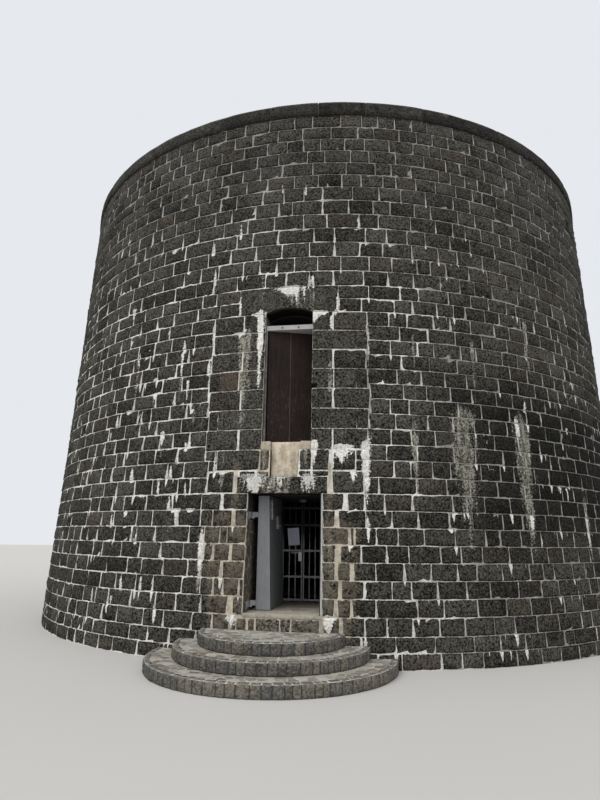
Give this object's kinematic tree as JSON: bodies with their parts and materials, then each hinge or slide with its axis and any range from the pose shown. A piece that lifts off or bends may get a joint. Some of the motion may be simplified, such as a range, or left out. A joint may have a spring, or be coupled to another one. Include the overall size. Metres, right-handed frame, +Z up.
{
  "type": "martello tower",
  "caption": "Round battered basalt gun tower with an arched upper doorway, a hinged entrance door, an iron gate in the passage, round entrance steps and a coped parapet.",
  "frame": {"origin": "on the tower's axis at ground level", "axes": "+Z up; the doorways face -Y; +X to the right of someone facing the entrance"},
  "size_m": [12.2, 13.73, 8.795],
  "materials": {
    "wall_basalt": "rough rock-faced basalt in white lime mortar",
    "dressed_basalt": "finely pecked basalt, lime stained",
    "coping_basalt": "smooth weathered basalt",
    "sill_stone": "cream limestone, weathered",
    "lime_render": "cream lime render, sandy",
    "step_stone": "worn grey stone with pale joints",
    "floor_screed": "trowelled beige concrete",
    "upper_floor_stone": "plain stone flags",
    "vault_stone": "lime washed masonry",
    "platform_paving": "grey stone paving",
    "grey_painted_timber": "blue-grey oil paint, satin",
    "white_painted_timber": "worn white paint",
    "grey_painted_iron": "grey paint, satin",
    "gate_iron": "dull grey paint",
    "lock_steel": "worn galvanised steel",
    "notice_paper": "blank matt paper",
    "lamp_glass": "opal diffuser",
    "transom_timber": "pale weathered paint",
    "upper_door_timber": "dark red-brown stain, scuffed"
  },
  "bodies": {
    "tower": {"ground_wall_front_right": "wall_basalt", "ground_wall_right": "wall_basalt", "ground_wall_back_right": "wall_basalt", "ground_wall_back_left": "wall_basalt", "ground_wall_left": "wall_basalt", "ground_wall_front_left": "wall_basalt", "upper_wall_front_right": "wall_basalt", "upper_wall_right": "wall_basalt", "upper_wall_back_right": "wall_basalt", "upper_wall_back_left": "wall_basalt", "upper_wall_left": "wall_basalt", "upper_wall_front_left": "wall_basalt", "wall_under_door": "wall_basalt", "wall_over_door": "wall_basalt", "wall_under_upper_door": "wall_basalt", "wall_over_upper_door": "wall_basalt", "parapet_front": "wall_basalt", "parapet_right": "wall_basalt", "parapet_back": "wall_basalt", "parapet_left": "wall_basalt", "door_lintel": "dressed_basalt", "upper_arch_stone": "dressed_basalt", "upper_left_quoins": "dressed_basalt", "upper_right_quoins": "dressed_basalt", "coping": "coping_basalt", "upper_sill": "sill_stone", "chute_render": "lime_render", "bottom_step": "step_stone", "middle_step": "step_stone", "top_step": "step_stone", "threshold_slab": "floor_screed", "ground_floor": "floor_screed", "first_floor": "upper_floor_stone", "roof_vault": "vault_stone", "gun_platform": "platform_paving", "door_stop": "white_painted_timber", "door_pintles": "grey_painted_iron", "gate_hinges": "gate_iron", "passage_lamp": "lamp_glass", "upper_transom": "transom_timber", "upper_post": "transom_timber", "upper_door": "upper_door_timber"},
    "entrance_door": {"door_leaf": "grey_painted_timber", "door_straps": "grey_painted_iron", "door_bolt": "grey_painted_iron", "door_lock": "grey_painted_iron"},
    "left_gate": {"gate_leaf_left": "gate_iron", "gate_lock": "lock_steel", "notice_sheet": "notice_paper"},
    "right_gate": {"gate_leaf_right": "gate_iron"}
  },
  "joints": [
    {"name": "entrance_door_hinge", "type": "hinge", "parent": "tower", "child": "entrance_door", "pos_m": [-0.505, -5.69815, 1.4], "axis": [0, 0, 1], "range_deg": [-90, 0]},
    {"name": "left_gate_hinge", "type": "hinge", "parent": "tower", "child": "left_gate", "pos_m": [-0.505, -4.39815, 1.4], "axis": [0, 0, 1], "range_deg": [0, 90]},
    {"name": "right_gate_hinge", "type": "hinge", "parent": "tower", "child": "right_gate", "pos_m": [0.505, -4.39815, 1.4], "axis": [0, 0, 1], "range_deg": [-90, 0]}
  ]
}
